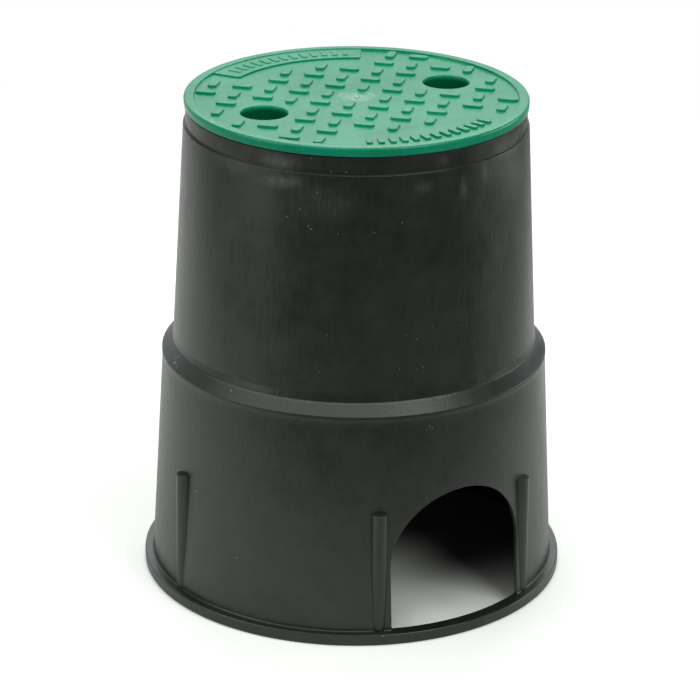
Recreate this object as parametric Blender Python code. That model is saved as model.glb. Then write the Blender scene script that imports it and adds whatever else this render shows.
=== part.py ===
"""Small round irrigation valve box: a black moulded body and its green twist-lock lid.

Metres, +Z up. The origin is the centre of the base on the ground. The pipe openings face +Y and -Y,
and the lid's finger pockets lie along X.
"""
import math

import bmesh
import bpy

# Turned forms
TURN_STEPS = 84

# Body, outside: heights. The shoulder sits at a fixed share of the height.
BODY_TOP_Z = 0.2255
FLANGE_HEIGHT = 0.0052
SHOULDER_SHARE = 0.48
SHOULDER_HEIGHT = 0.0053
COLLAR_HEIGHT = 0.0082
SHOULDER_LOW_Z = SHOULDER_SHARE * BODY_TOP_Z
SHOULDER_TOP_Z = SHOULDER_LOW_Z + SHOULDER_HEIGHT
LEDGE_Z = BODY_TOP_Z - COLLAR_HEIGHT

# Body, outside: radii, each set in from the one below it
BASE_RADIUS = 0.0991
FLANGE_REACH = 0.0040
LOWER_WALL_DRAFT = 0.0054
SHOULDER_STEP = 0.0048
UPPER_WALL_DRAFT = 0.00585
COLLAR_SET_IN = 0.00105
WALL_FOOT_RADIUS = BASE_RADIUS - FLANGE_REACH
SHOULDER_LOW_RADIUS = WALL_FOOT_RADIUS - LOWER_WALL_DRAFT
SHOULDER_TOP_RADIUS = SHOULDER_LOW_RADIUS - SHOULDER_STEP
LEDGE_RADIUS = SHOULDER_TOP_RADIUS - UPPER_WALL_DRAFT
COLLAR_RADIUS = LEDGE_RADIUS - COLLAR_SET_IN

WALL = 0.0020
COLLAR_WALL = 0.0024
EDGE_ROUND = 0.0005

# Pipe openings through the lower wall
PIPE_HALF_WIDTH = 0.0348
PIPE_SPRING_HEIGHT = 0.0293
PIPE_SPRING_Z = FLANGE_HEIGHT + PIPE_SPRING_HEIGHT

# Half-round columns on the lower wall
RIB_RADIUS = 0.00375
RIB_FOOT_PROUD = 0.0010
RIB_DRAFT = 0.0005
RIB_HEIGHT = 0.0572
RIB_FROM_PIPE = 0.0054
RIB_ON_SIDE_DEG = 90.0

# Lid
LID_OVERHANG = 0.0006
LID_RADIUS = COLLAR_RADIUS + LID_OVERHANG
LID_EDGE_HEIGHT = 0.0042
LID_SEAT_GAP = 0.0003
LID_PLATE = 0.0024
RIM_WIDTH = 0.0038
RIM_INNER_RADIUS = LID_RADIUS - RIM_WIDTH
RIM_HEIGHT = 0.0011
RIM_ROUND = 0.0005

# Tread bars on the lid
TREAD_PITCH = 0.0190
BAR_LENGTH = 0.0090
BAR_WIDTH = 0.0045
BAR_CORNER = 0.0014
BAR_HEIGHT = 0.0011
BAR_DRAFT = 0.0004
BAR_SINK = 0.0004

# Raised panels over the pipe openings
PANEL_WIDTH = 0.0145
PANEL_INNER_RADIUS = RIM_INNER_RADIUS - PANEL_WIDTH
PANEL_HALF_DEG = 32.8
PANEL_HEIGHT = 0.0006
PANEL_CORNER = 0.0020

# Finger pockets
POCKET_FROM_EDGE = 0.0303
POCKET_OFFSET = LID_RADIUS - POCKET_FROM_EDGE
POCKET_RADIUS = 0.0108
POCKET_DEPTH = 0.0130
POCKET_DRAFT = 0.0008
POCKET_ROUND = 0.0007
POCKET_WALL = 0.0018
POCKET_STEPS = 32

# Sprue mark at the lid's centre
DISH_RADIUS = 0.0087
DISH_DEPTH = 0.00025
SPRUE_RADIUS = 0.0011
SPRUE_HEIGHT = 0.0009

# Lid underside and twist lock. Twisted home, the lid's pattern lies a little clockwise of the openings.
LID_HOME_DEG = -1.5
SKIRT_CLEARANCE = 0.0005
SKIRT_WALL = 0.0018
SKIRT_DEPTH = 0.0125
LUG_COUNT = 4
LUG_FIRST_DEG = 45.0
LUG_THICKNESS = 0.0026
LUG_REACH = 0.0028
LID_LUG_HALF_DEG = 11.0
BODY_LUG_HALF_DEG = 13.0
LUG_DROP = 0.0036
LUG_GAP = 0.0004
STOP_GAP_DEG = 0.3
STOP_WIDTH_DEG = 2.0
UNDER_RIB_WALL = 0.0018
UNDER_RIB_DEPTH = 0.0060
UNDER_RIB_FIRST_DEG = 22.5
UNDER_RIB_COUNT = 8
HUB_RADIUS = 0.0110

# How far a joined piece runs into the one that carries it
BITE = 0.0010


def clear_scene():
    for thing in list(bpy.data.objects):
        bpy.data.objects.remove(thing, do_unlink=True)


def plastic(name, colour, roughness):
    material = bpy.data.materials.new(name)
    material.use_nodes = True
    shader = material.node_tree.nodes["Principled BSDF"]
    shader.inputs["Base Color"].default_value = (*colour, 1.0)
    shader.inputs["Roughness"].default_value = roughness
    shader.inputs["Metallic"].default_value = 0.0
    material.diffuse_color = (*colour, 1.0)
    return material


def finish_mesh(name, form, guide=False, material=None, sharp_deg=32.0):
    """Close a bmesh into a named object; a guide is a cutter or a joined shape."""
    bmesh.ops.recalc_face_normals(form, faces=form.faces)
    mesh = bpy.data.meshes.new(name)
    form.to_mesh(mesh)
    form.free()
    mesh.shade_smooth()
    mesh.set_sharp_from_angle(angle=math.radians(sharp_deg))
    thing = bpy.data.objects.new(name, mesh)
    bpy.context.scene.collection.objects.link(thing)
    if material:
        mesh.materials.append(material)
    if guide:
        thing.hide_render = True
        thing.display_type = "WIRE"
    return thing


def turn(form, profile, steps, centre=(0.0, 0.0)):
    """Turn a profile of (radius, z) about a vertical axis. Ends on the axis close to a point."""
    rings = []
    for radius, z in profile:
        if radius < 1e-9:
            rings.append([form.verts.new((centre[0], centre[1], z))])
            continue
        ring = []
        for step in range(steps):
            turn_angle = 2.0 * math.pi * (step + 0.5) / steps
            x = centre[0] + radius * math.cos(turn_angle)
            y = centre[1] + radius * math.sin(turn_angle)
            ring.append(form.verts.new((x, y, z)))
        rings.append(ring)
    for low, high in zip(rings, rings[1:]):
        for step in range(steps):
            after = (step + 1) % steps
            if len(low) == 1:
                form.faces.new((low[0], high[after], high[step]))
            elif len(high) == 1:
                form.faces.new((low[step], low[after], high[0]))
            else:
                form.faces.new((low[step], low[after], high[after], high[step]))
    return rings


def loft(form, sections):
    """Bridge sections with the same number of points and cap both ends."""
    rings = [[form.verts.new(point) for point in section] for section in sections]
    count = len(rings[0])
    for low, high in zip(rings, rings[1:]):
        for step in range(count):
            after = (step + 1) % count
            form.faces.new((low[step], low[after], high[after], high[step]))
    form.faces.new(rings[0][::-1])
    form.faces.new(rings[-1])


def polar(radius, degrees, z):
    return (radius * math.cos(math.radians(degrees)), radius * math.sin(math.radians(degrees)), z)


def arc_block(form, inner, outer, low_z, high_z, centre_deg, half_deg, steps):
    """A block bounded by two arcs about Z."""
    angles = [centre_deg - half_deg + 2.0 * half_deg * step / steps for step in range(steps + 1)]
    outline = [(outer, angle) for angle in angles] + [(inner, angle) for angle in reversed(angles)]
    loft(form, [[polar(r, a, z) for r, a in outline] for z in (low_z, high_z)])


def join_to(base, tool, operation):
    change = base.modifiers.new(tool.name, "BOOLEAN")
    change.operation = operation
    change.solver = "EXACT"
    change.object = tool


def wall_radius(z):
    """Outer radius of the lower wall, without its small edge rounds."""
    share = (z - FLANGE_HEIGHT) / (SHOULDER_LOW_Z - FLANGE_HEIGHT)
    return WALL_FOOT_RADIUS + (SHOULDER_LOW_RADIUS - 0.0002 - WALL_FOOT_RADIUS) * share


# Body

def body_outside():
    """The outer face of the body as a solid, base first."""
    r = EDGE_ROUND
    profile = [
        (0.0, 0.0),
        (BASE_RADIUS - r, 0.0),
        (BASE_RADIUS, r),
        (BASE_RADIUS, FLANGE_HEIGHT - r),
        (BASE_RADIUS - 0.3 * r, FLANGE_HEIGHT - 0.3 * r),
        (BASE_RADIUS - r, FLANGE_HEIGHT),
        (WALL_FOOT_RADIUS + r, FLANGE_HEIGHT),
        (WALL_FOOT_RADIUS, FLANGE_HEIGHT + r),
        (wall_radius(SHOULDER_LOW_Z - 0.0026), SHOULDER_LOW_Z - 0.0026),
        (SHOULDER_LOW_RADIUS + 0.0001, SHOULDER_LOW_Z - 0.0009),
        (SHOULDER_LOW_RADIUS, SHOULDER_LOW_Z),
        (SHOULDER_LOW_RADIUS - 0.0005, SHOULDER_LOW_Z + 0.0007),
        (SHOULDER_TOP_RADIUS + 0.0006, SHOULDER_TOP_Z - 0.0007),
        (SHOULDER_TOP_RADIUS, SHOULDER_TOP_Z + 0.0004),
        (SHOULDER_TOP_RADIUS - 0.0004, SHOULDER_TOP_Z + 0.0026),
        (LEDGE_RADIUS, LEDGE_Z - 0.0002),
        (LEDGE_RADIUS - 0.0002, LEDGE_Z),
        (COLLAR_RADIUS, LEDGE_Z),
        (COLLAR_RADIUS, BODY_TOP_Z - r),
        (COLLAR_RADIUS - r, BODY_TOP_Z),
        (0.0, BODY_TOP_Z),
    ]
    form = bmesh.new()
    turn(form, profile, TURN_STEPS)
    return form


def mouth_radius():
    return COLLAR_RADIUS - COLLAR_WALL


def body_core():
    """The hollow of the body, open at the base and at the mouth."""
    mouth_low_z = LEDGE_Z - 0.0040
    profile = [
        (0.0, -0.0100),
        (wall_radius(-0.0100) - WALL, -0.0100),
        (wall_radius(SHOULDER_LOW_Z - 0.0015) - WALL, SHOULDER_LOW_Z - 0.0015),
        (SHOULDER_TOP_RADIUS - WALL, SHOULDER_TOP_Z - 0.0015),
        (LEDGE_RADIUS - WALL, mouth_low_z - 0.0015),
        (mouth_radius(), mouth_low_z),
        (mouth_radius(), BODY_TOP_Z + 0.0100),
        (0.0, BODY_TOP_Z + 0.0100),
    ]
    form = bmesh.new()
    turn(form, profile, TURN_STEPS)
    return finish_mesh("guide_body_core", form, guide=True)


def body_ribs():
    """Half-round columns, two beside each pipe opening and one on each side."""
    form = bmesh.new()
    beside_pipe = math.degrees(math.asin((PIPE_HALF_WIDTH + RIB_FROM_PIPE) / WALL_FOOT_RADIUS))
    angles = []
    for facing in (-90.0, 90.0):
        angles += [facing - beside_pipe, facing + beside_pipe, facing + RIB_ON_SIDE_DEG]
    foot_reach = WALL_FOOT_RADIUS + RIB_FOOT_PROUD
    ends = ((FLANGE_HEIGHT - BITE, foot_reach), (FLANGE_HEIGHT + RIB_HEIGHT, foot_reach - RIB_DRAFT))
    steps = 20
    for angle in angles:
        sections = []
        for z, reach in ends:
            centre = polar(reach - RIB_RADIUS, angle, z)
            section = []
            for step in range(steps):
                around = math.radians(angle) + 2.0 * math.pi * step / steps
                x = centre[0] + RIB_RADIUS * math.cos(around)
                y = centre[1] + RIB_RADIUS * math.sin(around)
                section.append((x, y, z))
            sections.append(section)
        loft(form, sections)
    return finish_mesh("guide_body_ribs", form, guide=True)


def pipe_cutter():
    """Two arched prisms through the wall along Y, standing on the flange ring."""
    form = bmesh.new()
    steps = 24
    outline = [(-PIPE_HALF_WIDTH, FLANGE_HEIGHT), (PIPE_HALF_WIDTH, FLANGE_HEIGHT)]
    for step in range(steps + 1):
        around = math.pi * step / steps
        x = PIPE_HALF_WIDTH * math.cos(around)
        z = PIPE_SPRING_Z + PIPE_HALF_WIDTH * math.sin(around)
        outline.append((x, z))
    for near, far in ((-1.1 * BASE_RADIUS, -0.5 * BASE_RADIUS), (0.5 * BASE_RADIUS, 1.1 * BASE_RADIUS)):
        loft(form, [[(x, y, z) for x, z in outline] for y in (near, far)])
    return finish_mesh("guide_pipe_cutter", form, guide=True)


def lug_angles():
    return [LUG_FIRST_DEG + 360.0 * lug / LUG_COUNT for lug in range(LUG_COUNT)]


def body_lugs():
    """Inward lugs at the mouth, each with a stop at its clockwise end."""
    form = bmesh.new()
    inner = mouth_radius() - LUG_REACH
    outer = mouth_radius() + 0.4 * COLLAR_WALL
    top = BODY_TOP_Z - LUG_DROP
    low = top - LUG_THICKNESS
    stop_low = low - LUG_GAP - LUG_THICKNESS
    for angle in lug_angles():
        arc_block(form, inner, outer, low, top, angle, BODY_LUG_HALF_DEG, 5)
    lugs = finish_mesh("guide_body_lugs", form, guide=True)
    form = bmesh.new()
    for angle in lug_angles():
        stop_at = angle - LID_LUG_HALF_DEG - STOP_GAP_DEG - 0.5 * STOP_WIDTH_DEG
        arc_block(form, inner + 0.1 * LUG_REACH, outer, stop_low, low + 0.5 * LUG_THICKNESS, stop_at,
                  0.5 * STOP_WIDTH_DEG, 1)
    stops = finish_mesh("guide_body_stops", form, guide=True)
    return lugs, stops


# Lid

def lid_levels():
    under = BODY_TOP_Z + LID_SEAT_GAP
    top = under + LID_EDGE_HEIGHT
    field = top - RIM_HEIGHT
    return under, top, field, field - LID_PLATE


def skirt_radius():
    return mouth_radius() - LUG_REACH - SKIRT_CLEARANCE


def lid_plate():
    """Rim, recessed field, edge and skirt, turned in one profile."""
    under, top, field, plate_under = lid_levels()
    skirt_low = under - SKIRT_DEPTH
    skirt = skirt_radius()
    r = RIM_ROUND
    profile = [
        (0.0, field),
        (RIM_INNER_RADIUS, field),
        (RIM_INNER_RADIUS + 0.1 * RIM_HEIGHT, top - 0.4 * r),
        (RIM_INNER_RADIUS + 0.1 * RIM_HEIGHT + 0.4 * r, top),
        (LID_RADIUS - 1.6 * r, top),
        (LID_RADIUS - 0.7 * r, top - 0.25 * r),
        (LID_RADIUS - 0.1 * r, top - r),
        (LID_RADIUS - 0.5 * r, under + 0.3 * r),
        (LID_RADIUS - 0.8 * r, under),
        (skirt, under),
        (skirt - 0.0002, skirt_low),
        (skirt - SKIRT_WALL + 0.0003, skirt_low),
        (skirt - SKIRT_WALL, plate_under),
        (0.0, plate_under),
    ]
    form = bmesh.new()
    turn(form, profile, TURN_STEPS)
    return form


def bar_outline(length, width, corner, steps=2):
    """Rounded rectangle about the origin, long along X."""
    points = []
    for quarter, (sx, sy) in enumerate(((1, 1), (-1, 1), (-1, -1), (1, -1))):
        cx = sx * (0.5 * length - corner)
        cy = sy * (0.5 * width - corner)
        for step in range(steps + 1):
            around = math.radians(90.0 * quarter + 90.0 * step / steps)
            points.append((cx + corner * math.cos(around), cy + corner * math.sin(around)))
    return points


def tread_places():
    """Two square grids half a pitch apart, with crossed bars, kept off rim, panels, pockets and centre."""
    places = []
    reach = int(RIM_INNER_RADIUS / TREAD_PITCH) + 1
    half_diagonal = 0.5 * math.hypot(BAR_LENGTH, BAR_WIDTH)
    for shift, lean in ((0.0, -45.0), (0.5, 45.0)):
        for row in range(-reach, reach + 1):
            for column in range(-reach, reach + 1):
                x = (column + shift) * TREAD_PITCH
                y = (row + shift) * TREAD_PITCH
                radius = math.hypot(x, y)
                if radius > RIM_INNER_RADIUS - half_diagonal - 0.0004:
                    continue
                if radius < DISH_RADIUS:
                    continue
                if abs(abs(x) - POCKET_OFFSET) < 0.5 * TREAD_PITCH + POCKET_RADIUS - half_diagonal:
                    if math.hypot(abs(x) - POCKET_OFFSET, y) < POCKET_RADIUS + half_diagonal:
                        continue
                off_panel = math.degrees(math.atan2(abs(x), abs(y)))
                if off_panel < PANEL_HALF_DEG + 1.5 and radius + half_diagonal > PANEL_INNER_RADIUS - 0.0006:
                    continue
                places.append((x, y, lean))
    return places


def tread_bars():
    field = lid_levels()[2]
    form = bmesh.new()
    levels = (
        (field - BAR_SINK, -BAR_DRAFT * BAR_SINK / BAR_HEIGHT),
        (field + BAR_HEIGHT, BAR_DRAFT),
    )
    for x, y, lean in tread_places():
        cos_lean = math.cos(math.radians(lean))
        sin_lean = math.sin(math.radians(lean))
        sections = []
        for z, inset in levels:
            corner = max(BAR_CORNER - inset, 0.0003)
            outline = bar_outline(BAR_LENGTH - 2.0 * inset, BAR_WIDTH - 2.0 * inset, corner)
            sections.append([(x + px * cos_lean - py * sin_lean, y + px * sin_lean + py * cos_lean, z)
                             for px, py in outline])
        loft(form, sections)
    return finish_mesh("guide_tread_bars", form, guide=True)


def panel_outline(inset):
    """Arc panel about -Y as (radius, degrees), with rounded inner corners, run into the rim."""
    inner = PANEL_INNER_RADIUS + inset
    outer = RIM_INNER_RADIUS + BITE
    half = PANEL_HALF_DEG - math.degrees(inset / inner)
    corner_deg = math.degrees(PANEL_CORNER / inner)
    steps = 14
    points = [(outer, -half + 2.0 * half * step / steps) for step in range(steps + 1)]
    points.append((inner + PANEL_CORNER, half))
    points.append((inner + 0.3 * PANEL_CORNER, half - 0.3 * corner_deg))
    inner_half = half - corner_deg
    points += [(inner, inner_half - 2.0 * inner_half * step / steps) for step in range(steps + 1)]
    points.append((inner + 0.3 * PANEL_CORNER, -half + 0.3 * corner_deg))
    points.append((inner + PANEL_CORNER, -half))
    return points


def panels():
    field = lid_levels()[2]
    form = bmesh.new()
    for facing in (-90.0, 90.0):
        sections = []
        for z, inset in ((field - BAR_SINK, 0.0), (field + PANEL_HEIGHT, 0.00015)):
            sections.append([polar(r, facing + a, z) for r, a in panel_outline(inset)])
        loft(form, sections)
    return finish_mesh("guide_panels", form, guide=True)


def pocket_cups():
    plate_under = lid_levels()[3]
    field = lid_levels()[2]
    low = field - POCKET_DEPTH - POCKET_WALL
    form = bmesh.new()
    for side in (-1.0, 1.0):
        outer = POCKET_RADIUS + POCKET_WALL
        profile = [
            (0.0, low),
            (outer - POCKET_DRAFT, low),
            (outer, plate_under + 0.5 * LID_PLATE),
            (0.0, plate_under + 0.5 * LID_PLATE),
        ]
        turn(form, profile, POCKET_STEPS, (side * POCKET_OFFSET, 0.0))
    return finish_mesh("guide_pocket_cups", form, guide=True)


def pocket_cutter():
    field = lid_levels()[2]
    r = POCKET_ROUND
    form = bmesh.new()
    for side in (-1.0, 1.0):
        profile = [
            (0.0, field + 0.0050),
            (POCKET_RADIUS + r, field + 0.0050),
            (POCKET_RADIUS + r, field),
            (POCKET_RADIUS + 0.3 * r, field - 0.3 * r),
            (POCKET_RADIUS, field - r),
            (POCKET_RADIUS - POCKET_DRAFT, field - POCKET_DEPTH + r),
            (POCKET_RADIUS - POCKET_DRAFT - r, field - POCKET_DEPTH),
            (0.0, field - POCKET_DEPTH),
        ]
        turn(form, profile, POCKET_STEPS, (side * POCKET_OFFSET, 0.0))
    return finish_mesh("guide_pocket_cutter", form, guide=True)


def sprue_dish():
    field = lid_levels()[2]
    form = bmesh.new()
    profile = [
        (0.0, field - DISH_DEPTH),
        (DISH_RADIUS - 2.0 * DISH_DEPTH, field - DISH_DEPTH),
        (DISH_RADIUS + 2.0 * DISH_DEPTH, field + DISH_DEPTH),
        (0.0, field + DISH_DEPTH),
    ]
    turn(form, profile, POCKET_STEPS)
    dish = finish_mesh("guide_sprue_dish", form, guide=True)
    form = bmesh.new()
    profile = [
        (0.0, field - DISH_DEPTH - BAR_SINK),
        (SPRUE_RADIUS, field - DISH_DEPTH - BAR_SINK),
        (0.8 * SPRUE_RADIUS, field - DISH_DEPTH + 0.7 * SPRUE_HEIGHT),
        (0.4 * SPRUE_RADIUS, field - DISH_DEPTH + SPRUE_HEIGHT),
        (0.0, field - DISH_DEPTH + SPRUE_HEIGHT),
    ]
    turn(form, profile, 12)
    stub = finish_mesh("guide_sprue_stub", form, guide=True)
    return dish, stub


def under_ribs():
    """Radial ribs from hub to skirt below the plate."""
    plate_under = lid_levels()[3]
    high = plate_under + 0.5 * LID_PLATE
    low = plate_under - UNDER_RIB_DEPTH
    outer = skirt_radius() - 0.5 * SKIRT_WALL
    form = bmesh.new()
    half = 0.5 * UNDER_RIB_WALL
    for rib in range(UNDER_RIB_COUNT):
        angle = math.radians(UNDER_RIB_FIRST_DEG + 360.0 * rib / UNDER_RIB_COUNT)
        cos_a = math.cos(angle)
        sin_a = math.sin(angle)
        corners = ((HUB_RADIUS - BITE, -half), (outer, -half), (outer, half), (HUB_RADIUS - BITE, half))
        outline = [(out * cos_a - side * sin_a, out * sin_a + side * cos_a) for out, side in corners]
        loft(form, [[(x, y, z) for x, y in outline] for z in (low, high)])
    ribs = finish_mesh("guide_under_ribs", form, guide=True)
    form = bmesh.new()
    turn(form, [(0.0, low - BITE), (HUB_RADIUS, low - BITE), (HUB_RADIUS, high), (0.0, high)], 24)
    hub = finish_mesh("guide_hub", form, guide=True)
    return ribs, hub


def lid_lugs():
    """Outward lugs on the skirt, seated just under the body's lugs."""
    top = BODY_TOP_Z - LUG_DROP - LUG_THICKNESS - LUG_GAP
    form = bmesh.new()
    skirt = skirt_radius()
    for angle in lug_angles():
        arc_block(form, skirt - 0.5 * SKIRT_WALL, mouth_radius() - SKIRT_CLEARANCE, top - LUG_THICKNESS, top,
                  angle - LID_HOME_DEG, LID_LUG_HALF_DEG, 5)
    return finish_mesh("guide_lid_lugs", form, guide=True)


def build():
    clear_scene()
    black = plastic("black_moulding", (0.020, 0.022, 0.021), 0.42)
    green = plastic("green_moulding", (0.105, 0.420, 0.285), 0.45)

    body = finish_mesh("valve_box_body", body_outside(), material=black)
    join_to(body, body_ribs(), "UNION")
    join_to(body, body_core(), "DIFFERENCE")
    for tool in body_lugs():
        join_to(body, tool, "UNION")
    join_to(body, pipe_cutter(), "DIFFERENCE")

    twist_axis = bpy.data.objects.new("lid_twist_axis", None)
    twist_axis.location = (0.0, 0.0, BODY_TOP_Z)
    twist_axis.rotation_euler = (0.0, 0.0, math.radians(LID_HOME_DEG))
    bpy.context.scene.collection.objects.link(twist_axis)
    lid = finish_mesh("lid", lid_plate(), material=green)
    dish, stub = sprue_dish()
    join_to(lid, dish, "DIFFERENCE")
    join_to(lid, stub, "UNION")
    join_to(lid, pocket_cups(), "UNION")
    for tool in under_ribs():
        join_to(lid, tool, "UNION")
    join_to(lid, lid_lugs(), "UNION")
    join_to(lid, panels(), "UNION")
    join_to(lid, tread_bars(), "UNION")
    join_to(lid, pocket_cutter(), "DIFFERENCE")

    for thing in [lid] + [change.object for change in lid.modifiers]:
        thing.parent = twist_axis
        thing.location = (0.0, 0.0, -BODY_TOP_Z)


build()
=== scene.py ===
"""Small round irrigation valve box: the moulded body and the green twist-lock lid, with their finishes."""

import math

import bmesh
import bpy
from mathutils import Matrix, Vector


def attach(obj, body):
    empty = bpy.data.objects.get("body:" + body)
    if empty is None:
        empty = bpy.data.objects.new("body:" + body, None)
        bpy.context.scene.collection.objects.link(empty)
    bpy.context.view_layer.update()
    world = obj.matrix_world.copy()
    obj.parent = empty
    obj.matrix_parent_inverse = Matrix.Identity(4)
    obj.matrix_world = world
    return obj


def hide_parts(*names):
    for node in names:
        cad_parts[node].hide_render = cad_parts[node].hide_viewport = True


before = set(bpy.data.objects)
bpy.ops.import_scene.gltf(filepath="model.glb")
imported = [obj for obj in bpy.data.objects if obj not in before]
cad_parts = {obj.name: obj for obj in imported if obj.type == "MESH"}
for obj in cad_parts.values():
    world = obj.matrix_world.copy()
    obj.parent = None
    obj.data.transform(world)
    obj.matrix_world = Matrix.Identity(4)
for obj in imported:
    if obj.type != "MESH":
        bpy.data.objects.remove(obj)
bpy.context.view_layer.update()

# Body, metres, from the ground up
BASE_RADIUS = 0.0991
FLANGE_TOP = 0.0052
WALL_FOOT_RADIUS = 0.0951
SHOULDER_LOW_RADIUS = 0.0897
SHOULDER_LOW_Z = 0.10824
SHOULDER_TOP_Z = 0.11354
SHOULDER_TOP_RADIUS = 0.0849
LEDGE_Z = 0.2173
LEDGE_RADIUS = 0.07905
COLLAR_RADIUS = 0.0780
BODY_TOP_Z = 0.2255
MOUTH_RADIUS = 0.0756

# Corners of the wall between the flange and the ledge: height and radius
WALL_CORNERS = (
    (FLANGE_TOP, WALL_FOOT_RADIUS),
    (SHOULDER_LOW_Z, SHOULDER_LOW_RADIUS),
    (SHOULDER_TOP_Z, SHOULDER_TOP_RADIUS),
    (LEDGE_Z, LEDGE_RADIUS),
)

# Outline of the body, from its underside up the outer face and down the inner: radius, height, ease of the corner
BODY_OUTLINE = (
    (0.0945, 0.0, 0.0),
    (BASE_RADIUS, 0.0, 0.0006),
    (BASE_RADIUS, FLANGE_TOP, 0.0006),
    (WALL_FOOT_RADIUS, FLANGE_TOP, 0.0007),
    (0.08978, 0.1034, 0.0200),
    (0.08974, 0.1055, 0.0100),
    (0.08988, 0.1071, 0.0060),
    (0.08985, 0.1084, 0.0004),
    (0.08500, SHOULDER_TOP_Z - 0.0001, 0.0007),
    (0.08440, 0.1170, 0.0100),
    (LEDGE_RADIUS, LEDGE_Z, 0.0003),
    (COLLAR_RADIUS, LEDGE_Z, 0.0002),
    (COLLAR_RADIUS, BODY_TOP_Z, 0.0005),
    (MOUTH_RADIUS, BODY_TOP_Z, 0.0003),
    (MOUTH_RADIUS, 0.2133, 0.0020),
    (0.07705, 0.2118, 0.0020),
    (0.0829, 0.1120, 0.0010),
    (0.0877, 0.1067, 0.0010),
    (0.09338, 0.0, 0.0),
)

# Pipe openings, and the block that cuts each of them
PIPE_HALF_WIDTH = 0.0348
PIPE_SPRING_Z = 0.0345
PIPE_CUT_Y = -0.08
PIPE_CUT_DEPTH = 0.06
PIPE_CUT_STEPS = 128

# Columns on the lower wall
RIB_RADIUS = 0.00375
RIB_FOOT_REACH = 0.0961
RIB_TOP_REACH = 0.0956
RIB_TOP_Z = 0.0624
RIB_SUNK = 0.0004
RIB_EASE = 0.00035
RIB_BACK_REACH = 0.0941
RIB_BACK_LEAN = 0.0031
RIB_STEPS = 48
RIB_DEGREES = (-115.0, -65.0, 0.0, 65.0, 115.0, 180.0)

# Lid
LID_HOME_DEG = -1.5
LID_RADIUS = 0.0788
LID_UNDER_Z = 0.2258
LID_TOP_Z = 0.2300
FIELD_Z = 0.22885
FIELD_SAG = 0.0002
FIELD_STEP = 0.01
PLATE_UNDER_Z = 0.2265
INSIDE_PLATE_Z = 0.2277
RIM_INNER_RADIUS = 0.0739
SKIRT_RADIUS = 0.0723
SKIRT_INNER_RADIUS = 0.0705
SKIRT_LOW_Z = 0.2133

# Dished centre of the lid and the stub in it
DISH_FLOOR_RADIUS = 0.0060
DISH_FOOT_RADIUS = 0.0080
DISH_EDGE_RADIUS = 0.0088
DISH_DEPTH = 0.0003
STUB_STEPS = 32

# Finger pockets
POCKET_OFFSET = 0.0483
POCKET_RADIUS = 0.0106
POCKET_LIP = 0.0009
POCKET_FLOOR_Z = 0.2159
POCKET_CUP_Z = 0.2141
LIP_STEPS = 8

# Tread bars
TREAD_PITCH = 0.0191
TREAD_START = 0.0087
TREAD_REACH = 0.0746
TREAD_LENGTH = 0.0094
TREAD_WIDTH = 0.0045
TREAD_HALF_DIAGONAL = 0.00503
TREAD_HEIGHT = 0.00113
TREAD_SUNK = 0.0003
TREADS_EACH_WAY = 4

# Raised panels, as the way each faces and its height, and the short bars on them
PANEL_INNER_RADIUS = 0.0603
PANEL_OUTER_RADIUS = RIM_INNER_RADIUS + 0.0008
PANEL_HALF_DEG = 32.8
PANEL_SUNK = 0.0003
PANEL_STEPS = 48
PANEL_CLEAR_DEG = 1.5
PANEL_CLEAR = 0.0006
PANELS = ((-90.0, 0.2290), (90.0, 0.22955))
GRIP_RADIUS = 0.0671
GRIP_LENGTH = 0.0068
GRIP_WIDTH = 0.0028
GRIP_PITCH_DEG = 4.4
GRIPS_EACH_SIDE = 6

# Ribs and hub under the lid
UNDER_RIB_SIZE = (0.0614, 0.0018, 0.0072)
UNDER_RIB_PLACE = (0.0407, 0.0, 0.2241)
UNDER_RIB_COUNT = 8
UNDER_RIB_EASED_BELOW = 0.2206
LONG_EDGE = 0.01
HUB_RADIUS = 0.0110
HUB_LOW_Z = 0.2195

# Twist lock: radii, heights and half widths in degrees
LUG_DEGREES = (45.0, 135.0, 225.0, 315.0)
LUG_STEPS = 8
LUG_INNER_RADIUS = 0.0728
LUG_ROOT_RADIUS = MOUTH_RADIUS + 0.001
BODY_LUG_Z = (0.2193, 0.2219)
BODY_LUG_HALF_DEG = 13.0
STOP_INNER_RADIUS = LUG_INNER_RADIUS + 0.0003
STOP_Z = (0.2163, 0.2206)
STOP_BACK_DEG = 12.3
STOP_HALF_DEG = 1.0
STOP_STEPS = 2
LID_LUG_RADII = (SKIRT_RADIUS - 0.0009, 0.0751)
LID_LUG_Z = (0.2163, 0.2189)
LID_LUG_HALF_DEG = 11.0

# Nicks on the lid's top, the last a painted glint beside the sprue stub: place and radius
LID_NICKS_AND_GLINT = (((-0.0195, -0.0259), 0.0009), ((-0.0772, -0.0019), 0.0006), ((0.0030, 0.0046), 0.0007))

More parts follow.
